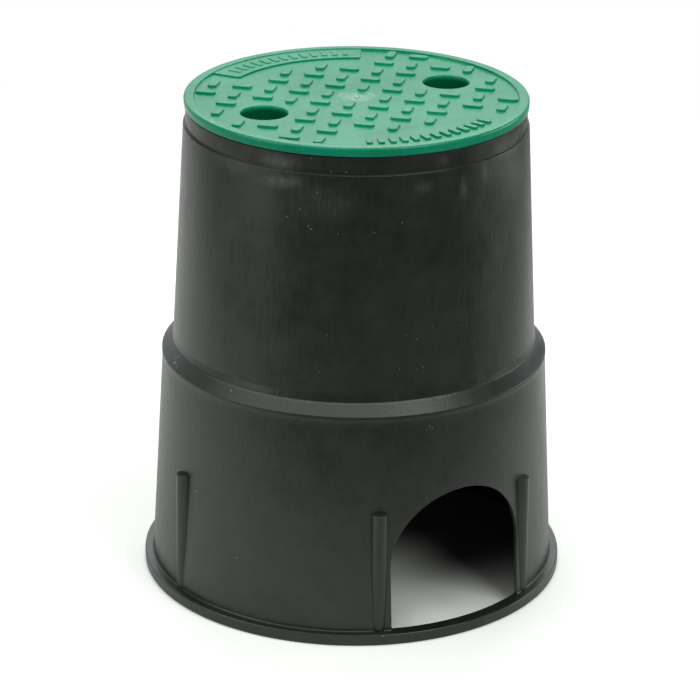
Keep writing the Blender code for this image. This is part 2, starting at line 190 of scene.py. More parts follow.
# Marks on the body: degrees round, height, width and length in mm, lean in degrees, and strength.
# A strength above zero is a pale mark, and one below zero a dark mark.
WALL_MARKS = (
    (-144.6, 196.9, 0.45, 0.5, 0.0, 0.6),
    (-135.0, 209.2, 1.3, 0.35, 25.0, 0.45),
    (-140.4, 201.1, 0.6, 0.6, 0.0, 0.45),
    (-138.4, 199.0, 0.7, 0.3, 30.0, 0.35),
    (-137.6, 193.8, 0.5, 1.2, -35.0, 0.40),
    (-136.6, 192.6, 1.4, 0.4, -20.0, 0.45),
    (-173.3, 173.3, 0.5, 0.4, 0.0, 0.55),
    (-128.1, 191.2, 0.8, 0.8, 0.0, 0.25),
    (-108.1, 195.9, 0.5, 0.8, 20.0, 0.50),
    (-116.8, 191.9, 1.3, 0.25, 0.0, 0.55),
    (-103.2, 141.7, 0.45, 0.45, 0.0, 0.50),
    (-106.5, 143.9, 0.25, 1.3, 10.0, 0.40),
    (-101.2, 128.2, 0.45, 0.5, 0.0, 0.65),
    (-108.7, 128.5, 0.45, 0.5, 0.0, 0.50),
    (-103.3, 127.7, 0.3, 0.6, 0.0, 0.35),
    (-97.9, 146.5, 1.0, 0.3, 15.0, 0.40),
    (-87.6, 144.1, 0.6, 0.5, 0.0, 0.40),
    (-131.1, 144.7, 0.6, 0.5, 0.0, 0.40),
    (-133.3, 127.2, 0.4, 0.6, 0.0, 0.35),
    (-130.6, 218.6, 0.5, 0.6, 0.0, 0.45),
    (-125.8, 218.8, 0.8, 0.7, 0.0, 0.45),
    (-137.2, 224.2, 0.4, 0.7, 0.0, 0.55),
    (-161.9, 111.4, 0.6, 0.5, 0.0, 1.00),
    (168.4, 110.1, 1.1, 1.1, 35.0, 1.00),
    (167.1, 111.4, 0.5, 1.8, 0.0, 0.50),
    (167.9, 112.6, 2.4, 0.4, 10.0, 0.45),
    (170.6, 109.7, 2.2, 0.3, -15.0, 0.40),
    (-152.2, 63.9, 0.6, 0.6, 0.0, 0.25),
    (-156.6, 33.2, 0.45, 0.45, 0.0, 0.75),
    (-173.6, 57.6, 0.55, 0.45, 0.0, 1.60),
    (-100.3, 101.7, 0.25, 1.9, 0.0, 0.40),
    (-99.4, 101.0, 0.20, 1.4, 5.0, 0.30),
    (-101.4, 100.4, 0.20, 1.1, -5.0, 0.25),
    (-114.2, 4.6, 0.5, 0.35, 0.0, 1.20),
    (-166.5, 2.0, 0.5, 0.4, 0.0, 0.60),
    (-53.3, 214.5, 0.30, 2.0, 0.0, -1.0),
    (-49.0, 219.4, 0.60, 2.6, 20.0, -1.0),
    (-51.7, 217.6, 0.30, 2.4, 30.0, 0.90),
    (-47.5, 214.6, 0.40, 1.8, -10.0, 0.80),
    (-61.0, 219.6, 0.50, 0.5, 0.0, -0.8),
    (-49.5, 67.2, 0.35, 2.2, -40.0, -0.8),
    # Painted shade, not a mark: a wide dark band along the shoulder on the right.
    (-46.0, 110.9, 60.0, 6.5, 0.0, -0.6),
)

# Rubbed and hazy places on the body: degrees round, height, width and length in mm, lean in degrees, strength
WALL_HAZES = (
    (-147.5, 220.6, 18.0, 6.5, 0.0, 0.65),
    (-147.0, 212.4, 22.0, 5.5, 6.0, 0.65),
    (-166.0, 216.0, 26.0, 10.0, 0.0, 0.30),
    (-132.0, 206.0, 34.0, 16.0, 4.0, 0.22),
    (-94.0, 221.0, 6.0, 5.0, 0.0, 0.45),
    (-86.0, 208.4, 4.5, 10.0, 0.0, 0.45),
    (-100.5, 211.0, 8.0, 5.0, 0.0, 0.30),
    (-77.0, 211.0, 4.0, 9.0, 0.0, 0.30),
    (-63.0, 219.0, 26.0, 8.0, 0.0, 0.55),
    (-58.0, 206.0, 26.0, 24.0, -10.0, 0.45),
    (-54.0, 180.0, 22.0, 40.0, 0.0, 0.16),
    # Painted light, not a rubbed place: a pale band on the wall just above the shoulder on the right.
    (-46.0, 116.2, 36.0, 4.0, 0.0, 0.22),
    (24.0, 190.0, 9.0, 7.0, 30.0, 0.35),
    (75.0, 214.0, 14.0, 4.0, 5.0, 0.60),
    (112.0, 160.0, 6.0, 12.0, -20.0, 0.30),
    (140.0, 80.0, 14.0, 6.0, 15.0, 0.30),
    (40.0, 70.0, 8.0, 9.0, -25.0, 0.30),
)

# Rings round the body in its finish: heights where each starts, is full, starts to fade and ends. The shoulder ring
# holds dust, the ledge, crease and low edge rings are painted shade lines, and the shoulder highlight ring is a
# painted highlight. The painted shadow under the lid doesn't fade, so it has only the first two.
SHOULDER_RING = (0.1070, 0.1084, 0.1132, 0.1140)
LEDGE_SHADE_RING = (LEDGE_Z - 0.0002, LEDGE_Z, LEDGE_Z, LEDGE_Z + 0.0003)
CREASE_SHADE_RING = (0.1134, 0.1137, 0.1140, 0.1143)
LOW_EDGE_SHADE_RING = (0.1076, 0.1079, 0.1081, 0.1084)
SHOULDER_HIGHLIGHT_RING = (0.1126, 0.1129, 0.1131, 0.1134)
UNDER_LID_SHADE_Z = (BODY_TOP_Z - 0.0007, BODY_TOP_Z - 0.0004)

# The painted highlight on the shoulder's top edge, on the side where it catches the light: its middle, and how far it
# reaches in full and at all
SHOULDER_HIGHLIGHT_MIDDLE = (-0.057, -0.066, 0.113)
SHOULDER_HIGHLIGHT_REACH = (0.050, 0.078)

# Sizes in the marks' tables are in mm. Each mark is a small ellipsoid that reaches this deep into the wall, and is
# a little larger than its entry. Its full strength ends at MARK_SOFT of the way to its surface. PALE_MARKS makes
# the pale ones stronger, and HAZE_SPREAD makes the hazy places larger.
MM = 0.001
MARK_DEPTH = 0.004
MARK_MARGIN = 0.00015
MARK_SOFT = 0.35
PALE_MARKS = 1.1
HAZE_SPREAD = 1.6

# The lid in its finish: the painted shade in its pockets and under its plate, and the sizes of the blush, the gate,
# and the nicked spots and the painted glint
POCKET_SHADE_Z = (0.2262, 0.2279)
POCKET_SHADE_MIDDLE = (0.0, 0.0, 0.2200)
POCKET_SHADE_REACH = (0.0640, 0.0660)
BLUSH_SIZE = (0.0115, 0.0105, 0.004)
GATE_SIZE = (0.0034, 0.0030, 0.004)
SPOT_DEPTH = 0.0016
NO_TURN = (0.0, 0.0, 0.0)

# Colours of the black plastic: plain, deepest, palest, hazed and painted highlight, scuffed, and painted shade and
# dark marks
BLACK = (0.018, 0.019, 0.0175)
BLACK_DEEP = (0.008, 0.0102, 0.0075)
BLACK_PALE = (0.024, 0.0280, 0.0225)
BLACK_HAZE_AND_HIGHLIGHT = (0.110, 0.116, 0.103)
BLACK_SCUFFED = (0.30, 0.30, 0.28)
BLACK_SHADE_AND_MARKS = (0.003, 0.003, 0.003)

# Colours of the green plastic: plain, deepest, palest, painted shade in the pockets, at the gate, and in the nicked
# spots and the painted glint
GREEN = (0.004, 0.290, 0.155)
GREEN_DEEP = (0.001, 0.225, 0.112)
GREEN_PALE = (0.010, 0.345, 0.195)
GREEN_POCKET_SHADE = (0.000, 0.085, 0.026)
GREEN_BLUSHED = (0.50, 0.60, 0.53)
GREEN_NICKS_AND_GLINT = (0.62, 0.85, 0.76)

# Turned pieces: steps in a full turn of the large and the small ones, and the disc that closes a small one's end
TURN_STEPS = 192
SMALL_TURN_STEPS = 96
END_DISC_RADIUS = 0.0060

# The sharpest angle between faces that are shaded as one surface, and how much the larger faces lead in it
SMOOTH_DEG = 38.0
FLAT_FACE_LEAD = 80

# The most of a side that an eased corner may take up
EASE_SHARE = 0.48

# How close counts as the same point, as a level edge, as the same height, and as a face that looks straight up
SAME_POINT = 0.000001
NEARLY_LEVEL = 1e-6
SAME_HEIGHT = 1e-5
NEARLY_FLAT = 0.9

# Camera: where the photograph was taken from, for its square frame, in metres and radians, its lens in mm
CAMERA_TURN_DEG = 32.8
CAMERA_REACH = 1.33854
CAMERA_HEIGHT = 0.64325
CAMERA_YAW = -0.0013
CAMERA_DIP = 0.3826
CAMERA_ROLL = 0.011
CAMERA_LENS = 157.9
CAMERA_SENSOR = 36.0
CAMERA_NEAREST = 0.05

# Studio: tints, and how bright the room is in reflections and for the rest
WHITE = (1.0, 1.0, 1.0)
LIGHT_TINT = (0.96, 1.0, 0.95)
BACK_TINT = (0.95, 0.99, 1.0)
ROOM_LEVEL = 0.06
ROOM_FRONT = 0.05
ROOM_SIDE = 0.15
ROOM_BACK = 0.80
ROOM_FRONT_SPAN = (-0.8, 0.2)
ROOM_BACK_SPAN = (0.2, 0.9)

# Floor: greys of the paper, its lift, and the light that reaches in through the front opening
FLOOR_SIZE = 12.0
FLOOR_Z = -0.0002
PAPER_SEEN = (0.95, 0.95, 0.95)
PAPER_SHADED = (0.35, 0.35, 0.35)
PAPER_MOUTH = (0.84, 0.87, 0.82)
PAPER_BRIGHT = (0.85, 0.85, 0.85)
PAPER_DIM = (0.12, 0.12, 0.12)
FLOOR_LIFT = 0.25
GLOW = 0.10
GLOW_TINT = (0.94, 1.0, 0.92)

# Where the floor changes, as the distances in metres at which each change starts and ends. Inside the body they run
# to the right, the front, the back or the camera. For the body's foot and the sweep they run out from the centre.
MOUTH_PAPER_SPAN = (0.010, 0.036)
FRONT_PAPER_SPAN = (0.025, 0.075)
BACK_PAPER_SPAN = (0.05, 0.09)
MOUTH_GLOW_SPAN = (0.012, 0.040)
GLOW_NEAR_SPAN = (-0.030, 0.045)
GLOW_SIDE_SPAN = (0.015, 0.050)
MOUTH_START_SPAN = (0.045, 0.075)
BODY_FOOT_SPAN = (0.095, 0.101)
SWEEP_SPAN = (0.35, 0.80)

# The bright table that the object is lit by and mirrors reaches further in this direction, and ends over this span
TABLE_LEAN = (-0.30, 0.61, 0.0)
TABLE_SPAN = (0.20, 0.68)

# Lamps: name, place from the camera's side, size and power, all aimed at one point
LAMP_AIM = (0.0, 0.0, 0.12)
LAMPS = (
    ("overhead", (-0.25, -0.2, 1.5), (2.2, 2.0), 19.5),
    ("high_behind", (0.0, 1.2, 1.2), (1.2, 0.9), 10.0),
    ("high_right", (0.9, -0.9, 1.1), (0.9, 0.9), 9.5),
    ("left_card", (-1.2, -0.6, 0.4), (0.8, 0.8), 4.6),
    ("right_card", (1.3, 0.35, 0.2), (0.8, 0.35), 4.0),
)


# Modelling by hand: selecting, raising rings, copying

def nothing_selected():
    if bpy.context.object and bpy.context.object.mode != "OBJECT":
        bpy.ops.object.mode_set(mode="OBJECT")
    bpy.ops.object.select_all(action="DESELECT")


def only(*pieces):
    nothing_selected()
    for piece in pieces:
        piece.select_set(True)
    bpy.context.view_layer.objects.active = pieces[0]


def named(name):
    piece = bpy.context.object
    piece.name = name
    piece.data.name = name
    return piece


def edit(piece, mode="VERT"):
    only(piece)
    bpy.ops.object.mode_set(mode="EDIT")
    bpy.ops.mesh.select_mode(type=mode)


def done():
    bpy.ops.object.mode_set(mode="OBJECT")


def settle(piece):
    """Put the object's place, turn and size into its mesh."""
    only(piece)
    bpy.ops.object.transform_apply(location=True, rotation=True, scale=True)
    return piece


def pick(piece, kind, wanted):
    """In edit mode, select the faces or edges that are wanted."""
    bpy.ops.mesh.select_all(action="DESELECT")
    form = bmesh.from_edit_mesh(piece.data)
    for item in getattr(form, kind):
        if wanted(item):
            item.select_set(True)
    form.select_flush_mode()
    bmesh.update_edit_mesh(piece.data)


def middle(item):
    """Centre of an edge or a face."""
    return sum((point.co for point in item.verts), Vector()) / len(item.verts)


def upright(edge):
    return abs(edge.verts[0].co.z - edge.verts[1].co.z) > NEARLY_LEVEL


def facing_up(face):
    return face.normal.z > NEARLY_FLAT


def facing_out(piece):
    """Merge points that coincide, and turn every face outwards."""
    edit(piece)
    bpy.ops.mesh.select_all(action="SELECT")
    bpy.ops.mesh.remove_doubles(threshold=SAME_POINT)
    bpy.ops.mesh.normals_make_consistent(inside=False)
    done()
    return piece


def eased(corners, steps=4):
    """Profile points from (radius, z, ease): a corner with an ease becomes an arc of that radius."""
    points = []
    for at, (radius, z, ease) in enumerate(corners):
        here = Vector((radius, z))
        if ease == 0.0 or at in (0, len(corners) - 1):
            points.append((radius, z))
            continue
        back = Vector(corners[at - 1][:2]) - here
        on = Vector(corners[at + 1][:2]) - here
        half = 0.5 * back.angle(on)
        run = min(ease / math.tan(half), EASE_SHARE * back.length, EASE_SHARE * on.length)
        ease = run * math.tan(half)
        back.normalize()
        on.normalize()
        centre = here + (back + on).normalized() * (ease / math.sin(half))
        start = here + back * run - centre
        sweep = start.angle_signed(here + on * run - centre)
        for step in range(steps + 1):
            turn = -sweep * step / steps
            arm = Matrix.Rotation(turn, 2) @ start
            points.append((centre.x + arm.x, centre.y + arm.y))
    return points


def turned(name, profile, steps=TURN_STEPS, centre=(0.0, 0.0), filled=False):
    """Raise a ring through a profile of (radius, z). Its ends are filled, or else bridged to each other."""
    nothing_selected()
    radius, z = profile[0]
    bpy.ops.mesh.primitive_circle_add(vertices=steps, radius=radius, fill_type="NGON" if filled else "NOTHING",
                                      location=(centre[0], centre[1], z))
    piece = settle(named(name))
    edit(piece, "EDGE")
    pick(piece, "edges", lambda edge: True)
    for next_radius, next_z in profile[1:]:
        bpy.ops.mesh.extrude_edges_move(TRANSFORM_OT_translate={"value": (0.0, 0.0, next_z - z)})
        grow = next_radius / radius
        bpy.ops.transform.resize(value=(grow, grow, 1.0), center_override=(centre[0], centre[1], next_z))
        radius, z = next_radius, next_z
    if filled:
        bpy.ops.mesh.edge_face_add()
    else:
        bpy.ops.mesh.select_all(action="DESELECT")
        bpy.ops.mesh.select_non_manifold()
        bpy.ops.mesh.bridge_edge_loops()
    done()
    return facing_out(piece)


def arc_block(name, inner, outer, low, high, centre_deg, half_deg, steps):
    """A block swept about Z from a standing plane."""
    nothing_selected()
    bpy.ops.mesh.primitive_plane_add(size=1.0)
    piece = named(name)
    piece.rotation_euler = (math.pi / 2.0, 0.0, 0.0)
    piece.scale = (outer - inner, high - low, 1.0)
    piece.location = (0.5 * (inner + outer), 0.0, 0.5 * (low + high))
    settle(piece)
    piece.rotation_euler.z = math.radians(centre_deg + half_deg)
    settle(piece)
    edit(piece)
    bpy.ops.mesh.select_all(action="SELECT")
    bpy.ops.mesh.spin(steps=steps, angle=math.radians(2.0 * half_deg), center=(0.0, 0.0, 0.0),
                      axis=(0.0, 0.0, 1.0))
    done()
    return facing_out(piece)


def joined(name, *pieces):
    only(*pieces)
    bpy.ops.object.join()
    return named(name)


def copied(piece, places):
    """Copies of a piece at (x, y, z, degrees), each with its own mesh, joined into one."""
    made = []
    for x, y, z, degrees in places:
        only(piece)
        bpy.ops.object.duplicate(linked=False)
        copy = bpy.context.object
        copy.location = (x, y, z)
        copy.rotation_euler = (0.0, 0.0, math.radians(degrees))
        made.append(copy)
    only(piece)
    name = piece.name
    bpy.ops.object.delete()
    return settle(joined(name, *made))


def turned_copies(piece, turns):
    """Copies of a piece turned about Z by each of some degrees."""
    return copied(piece, [(0.0, 0.0, 0.0, degrees) for degrees in turns])


def cut(piece, tool, operation="DIFFERENCE"):
    """Cut or join with another piece for good, and take that piece away."""
    only(piece)
    change = piece.modifiers.new("cut", "BOOLEAN")
    change.operation = operation
    change.solver = "EXACT"
    change.object = tool
    bpy.ops.object.modifier_apply(modifier=change.name)
    only(tool)
    bpy.ops.object.delete()
    return piece


def smooth(piece):
    """Smooth shading that keeps flat faces flat and edges crisp."""
    only(piece)
    bpy.ops.object.shade_smooth_by_angle(angle=math.radians(SMOOTH_DEG))
    change = piece.modifiers.new("flat faces lead", "WEIGHTED_NORMAL")
    change.keep_sharp = True
    change.weight = FLAT_FACE_LEAD
    bpy.ops.object.modifier_apply(modifier=change.name)
    return piece


def rounded_bar(name, length, width, low, high, corner, ease, draft):
    """A bar along X with round ends in plan, leaning sides and an eased top."""
    nothing_selected()
    bpy.ops.mesh.primitive_cube_add(size=1.0)
    piece = named(name)
    piece.scale = (length, width, high - low)
    piece.location = (0.0, 0.0, 0.5 * (low + high))
    settle(piece)
    edit(piece, "EDGE")
    pick(piece, "edges", upright)
    bpy.ops.mesh.bevel(offset=corner, segments=5, affect="EDGES")
    bpy.ops.mesh.select_mode(type="FACE")
    pick(piece, "faces", facing_up)
    bpy.ops.transform.resize(value=(1.0 - 2.0 * draft / length, 1.0 - 2.0 * draft / width, 1.0))
    bpy.ops.mesh.region_to_loop()
    bpy.ops.mesh.bevel(offset=ease, segments=3, affect="EDGES")
    done()
    return piece


# Body

def body_shell():
    """Flange, tapered lower wall, shoulder, tapered upper wall, ledge and collar, with the inner face."""
    return turned("body_moulding", eased(BODY_OUTLINE))


def pipe_cutters():
    """An arch on straight jambs, long enough to go through one wall, and its copy for the other side."""
    nothing_selected()
    bpy.ops.mesh.primitive_cylinder_add(vertices=PIPE_CUT_STEPS, radius=PIPE_HALF_WIDTH, depth=PIPE_CUT_DEPTH,
                                        rotation=(math.pi / 2.0, 0.0, 0.0),
                                        location=(0.0, PIPE_CUT_Y, PIPE_SPRING_Z))
    arch = settle(named("pipe_cutter"))
    edit(arch, "FACE")
    bpy.ops.mesh.select_all(action="SELECT")
    bpy.ops.mesh.bisect(plane_co=(0.0, 0.0, PIPE_SPRING_Z), plane_no=(0.0, 0.0, 1.0), use_fill=True,
                        clear_inner=True)
    pick(arch, "faces",
         lambda face: face.normal.z < -NEARLY_FLAT and abs(middle(face).z - PIPE_SPRING_Z) < SAME_HEIGHT)
    bpy.ops.mesh.extrude_region_move(TRANSFORM_OT_translate={"value": (0.0, 0.0, FLANGE_TOP - PIPE_SPRING_Z)})
    done()
    return turned_copies(facing_out(arch), (0.0, 180.0))


def columns():
    """Half-round columns with eased tops, their backs inside the wall."""
    nothing_selected()
    foot = FLANGE_TOP - RIB_SUNK
    bpy.ops.mesh.primitive_cylinder_add(vertices=RIB_STEPS, radius=RIB_RADIUS, depth=RIB_TOP_Z - foot,
                                        location=(RIB_FOOT_REACH - RIB_RADIUS, 0.0, 0.5 * (foot + RIB_TOP_Z)))
    column = settle(named("body_columns"))
    edit(column, "FACE")
    pick(column, "faces", facing_up)
    bpy.ops.transform.translate(value=(RIB_TOP_REACH - RIB_FOOT_REACH, 0.0, 0.0))
    bpy.ops.mesh.region_to_loop()
    bpy.ops.mesh.bevel(offset=RIB_EASE, segments=3, affect="EDGES")
    bpy.ops.mesh.select_all(action="SELECT")
    lean = math.atan2(RIB_BACK_LEAN, RIB_TOP_Z - foot)
    bpy.ops.mesh.bisect(plane_co=(RIB_BACK_REACH, 0.0, foot), plane_no=(math.cos(lean), 0.0, math.sin(lean)),
                        use_fill=True, clear_inner=True)
    done()
    return turned_copies(facing_out(column), RIB_DEGREES)


def body_lugs():
    """The lugs inside the mouth, and a stop at one end of each."""
    lugs = [arc_block("body_lug", LUG_INNER_RADIUS, LUG_ROOT_RADIUS, *BODY_LUG_Z, degrees, BODY_LUG_HALF_DEG,
                      LUG_STEPS) for degrees in LUG_DEGREES]
    stops = [arc_block("body_stop", STOP_INNER_RADIUS, LUG_ROOT_RADIUS, *STOP_Z, degrees - STOP_BACK_DEG,
                       STOP_HALF_DEG, STOP_STEPS) for degrees in LUG_DEGREES]
    return joined("body_lugs", *lugs, *stops)


def make_body():
    shell = cut(body_shell(), pipe_cutters())
    body = joined("body_moulding", shell, columns(), body_lugs())
    return smooth(body)


# Lid

def field_height(radius):
    """The field between the bars, which sinks a little towards the middle."""
    return FIELD_Z - FIELD_SAG * (1.0 - (radius / RIM_INNER_RADIUS) ** 2)


def lid_plate():
    """Dished centre, flat field, rim, edge, skirt and underside."""
    profile = eased([
        (DISH_FLOOR_RADIUS, field_height(DISH_FLOOR_RADIUS) - DISH_DEPTH, 0.0),
        (DISH_FOOT_RADIUS, field_height(DISH_FOOT_RADIUS) - DISH_DEPTH, 0.0006),
        (DISH_EDGE_RADIUS, field_height(DISH_EDGE_RADIUS), 0.0006),
        *[(FIELD_STEP * step, field_height(FIELD_STEP * step), 0.0) for step in range(1, 8)],
        (RIM_INNER_RADIUS, field_height(RIM_INNER_RADIUS), 0.0003),
        (RIM_INNER_RADIUS + 0.0001, LID_TOP_Z, 0.0004),
        (LID_RADIUS, LID_TOP_Z, 0.0012),
        (LID_RADIUS - 0.0003, LID_UNDER_Z, 0.0003),
        (SKIRT_RADIUS, LID_UNDER_Z, 0.0003),
        (SKIRT_RADIUS - 0.0002, SKIRT_LOW_Z, 0.0003),
        (SKIRT_INNER_RADIUS + 0.0003, SKIRT_LOW_Z, 0.0003),
        (SKIRT_INNER_RADIUS, PLATE_UNDER_Z, 0.0005),
        (SKIRT_INNER_RADIUS - 0.0020, PLATE_UNDER_Z, 0.0),
    ])
    return turned("lid_moulding", profile, filled=True)


def at_pockets(name, profile):
    """A filled turned piece at the place of each finger pocket."""
    pair = [turned(name, profile, SMALL_TURN_STEPS, (side * POCKET_OFFSET, 0.0), filled=True)
            for side in (-1.0, 1.0)]
    return joined(name + "s", *pair)


def pocket_cups():
    """The pockets' outer walls, which hang below the plate."""
    return at_pockets("pocket_cup", eased([
        (END_DISC_RADIUS, POCKET_CUP_Z, 0.0),
        (0.0118, POCKET_CUP_Z, 0.0008),
        (0.0126, INSIDE_PLATE_Z, 0.0),
    ]))


def pocket_hollows():
    """What the pockets are cut with: a rounded lip at the field, drafted sides and a floor."""
    mouth = field_height(POCKET_OFFSET)
    above = (POCKET_RADIUS + POCKET_LIP, mouth + 0.0040)
    lip = []
    for step in range(LIP_STEPS + 1):
        turn = 0.5 * math.pi * step / LIP_STEPS
        radius = POCKET_RADIUS + POCKET_LIP * (1.0 - math.sin(turn))
        lip.append((radius, mouth - POCKET_LIP * (1.0 - math.cos(turn))))
    cup = eased([
        (POCKET_RADIUS - 0.0001, mouth - POCKET_LIP - 0.0004, 0.0),
        (POCKET_RADIUS - 0.0008, POCKET_FLOOR_Z, 0.0009),
        (END_DISC_RADIUS, POCKET_FLOOR_Z, 0.0),
    ], 6)
    return at_pockets("pocket_hollow", [above] + lip + cup)


def tread_places():
    """Two square grids half a pitch apart with crossed bars, kept off the rim, panels, pockets and centre."""
    places = []
    steps = range(-TREADS_EACH_WAY, TREADS_EACH_WAY + 1)
    for shift, lean in ((0.0, -45.0), (0.5, 45.0)):
        for row in steps:
            for column in steps:
                x = (column + shift) * TREAD_PITCH
                y = (row + shift) * TREAD_PITCH
                radius = math.hypot(x, y)
                reach = radius + TREAD_HALF_DIAGONAL
                off_panel = math.degrees(math.atan2(abs(x), abs(y)))
                if radius > TREAD_REACH - TREAD_HALF_DIAGONAL or radius < TREAD_START:
                    continue
                if math.hypot(abs(x) - POCKET_OFFSET, y) < POCKET_RADIUS + TREAD_HALF_DIAGONAL:
                    continue
                if off_panel < PANEL_HALF_DEG + PANEL_CLEAR_DEG and reach > PANEL_INNER_RADIUS - PANEL_CLEAR:
                    continue
                places.append((x, y, field_height(radius) - TREAD_SUNK, lean))
    return places


def tread_bars():
    bar = rounded_bar("tread_bars", TREAD_LENGTH, TREAD_WIDTH, 0.0, TREAD_HEIGHT + TREAD_SUNK,
                      corner=0.0017, ease=0.0003, draft=0.0002)
    return copied(bar, tread_places())


def panel(facing, top):
    """A raised arc with rounded inner corners and an eased top edge, run into the rim."""
    piece = arc_block("panel", PANEL_INNER_RADIUS, PANEL_OUTER_RADIUS, FIELD_Z - PANEL_SUNK, top, facing,
                      PANEL_HALF_DEG, PANEL_STEPS)
    edit(piece, "EDGE")

    def inner_corner(edge):
        here = middle(edge)
        off = abs((math.degrees(math.atan2(here.y, here.x)) - facing + 180.0) % 360.0 - 180.0)
        inner = math.hypot(here.x, here.y) < PANEL_INNER_RADIUS + 0.0002
        return upright(edge) and inner and off > PANEL_HALF_DEG - 0.3

    pick(piece, "edges", inner_corner)
    bpy.ops.mesh.bevel(offset=0.0022, segments=5, affect="EDGES")
    bpy.ops.mesh.select_mode(type="FACE")
    pick(piece, "faces", facing_up)
    bpy.ops.mesh.region_to_loop()
    bpy.ops.mesh.bevel(offset=0.00012, segments=2, affect="EDGES")
    done()
    return piece


def panel_grips(facing, top):
    """A row of short radial bars on a panel."""
    grip = rounded_bar("panel_grips", GRIP_LENGTH, GRIP_WIDTH, top - 0.0002, LID_TOP_Z - 0.00002,
                       corner=0.0008, ease=0.0002, draft=0.0001)
    places = []
    for step in range(-GRIPS_EACH_SIDE, GRIPS_EACH_SIDE + 1):
        degrees = facing + GRIP_PITCH_DEG * step
        x = GRIP_RADIUS * math.cos(math.radians(degrees))
        y = GRIP_RADIUS * math.sin(math.radians(degrees))
        places.append((x, y, 0.0, degrees))
    return copied(grip, places)


def sprue_stub():
    """The stub that the sprue leaves in the dished centre."""
    low = field_height(0.0) - DISH_DEPTH
    profile = eased([
        (0.0018, low - 0.0004, 0.0),
        (0.0018, low, 0.0),
        (0.0015, low + 0.0002, 0.0003),
        (0.0010, low + 0.0008, 0.0005),
        (0.0003, low + 0.00085, 0.0),
    ])
    return turned("sprue_stub", profile, STUB_STEPS, filled=True)


def under_ribs():
    """Ribs from the hub to the skirt, their lower edges eased, and the hub."""
    nothing_selected()
    bpy.ops.mesh.primitive_cube_add(size=1.0)
    rib = named("under_ribs")
    rib.scale = UNDER_RIB_SIZE
    rib.location = UNDER_RIB_PLACE
    settle(rib)
    edit(rib, "EDGE")

    def low_and_long(edge):
        length = abs(edge.verts[0].co.x - edge.verts[1].co.x)
        return middle(edge).z < UNDER_RIB_EASED_BELOW and length > LONG_EDGE

    pick(rib, "edges", low_and_long)
    bpy.ops.mesh.bevel(offset=0.0003, segments=2, affect="EDGES")
    done()
    between = 360.0 / UNDER_RIB_COUNT
    ribs = turned_copies(rib, [between * (step + 0.5) for step in range(UNDER_RIB_COUNT)])
    hub = turned("hub", eased([
        (END_DISC_RADIUS, HUB_LOW_Z, 0.0),
        (HUB_RADIUS, HUB_LOW_Z, 0.0005),
        (HUB_RADIUS, INSIDE_PLATE_Z, 0.0),
    ]), SMALL_TURN_STEPS, filled=True)
    return joined("under_ribs", ribs, hub)


def lid_lugs():
    """The lid's own lugs, set to lie below the body's when the lid is home."""
    lugs = [arc_block("lid_lug", *LID_LUG_RADII, *LID_LUG_Z, degrees - LID_HOME_DEG, LID_LUG_HALF_DEG, LUG_STEPS)
            for degrees in LUG_DEGREES]
    return joined("lid_lugs", *lugs)


def make_lid():
    plate = cut(lid_plate(), pocket_cups(), "UNION")
    cut(plate, pocket_hollows())
    raised = [make(facing, top) for facing, top in PANELS for make in (panel, panel_grips)]
    lid = joined("lid_moulding", plate, tread_bars(), *raised, sprue_stub(), under_ribs(), lid_lugs())
    lid.rotation_euler = (0.0, 0.0, math.radians(LID_HOME_DEG))
    settle(lid)
    return smooth(lid)


# Finishes

class Level:
    """A socket's value: + - and * add Math nodes."""

    def __init__(self, finish, socket):
        self.finish = finish
        self.socket = socket

    def sum_of(self, operation, first, second):
        return self.finish.node("ShaderNodeMath", {"operation": operation}, {0: first, 1: second})

    def __add__(self, other):
        return self.sum_of("ADD", self, other)

    def __radd__(self, other):
        return self.sum_of("ADD", other, self)

    def __sub__(self, other):
        return self.sum_of("SUBTRACT", self, other)

    def __rsub__(self, other):
        return self.sum_of("SUBTRACT", other, self)

    def __mul__(self, other):
        return self.sum_of("MULTIPLY", self, other)

    def __rmul__(self, other):
        return self.sum_of("MULTIPLY", other, self)


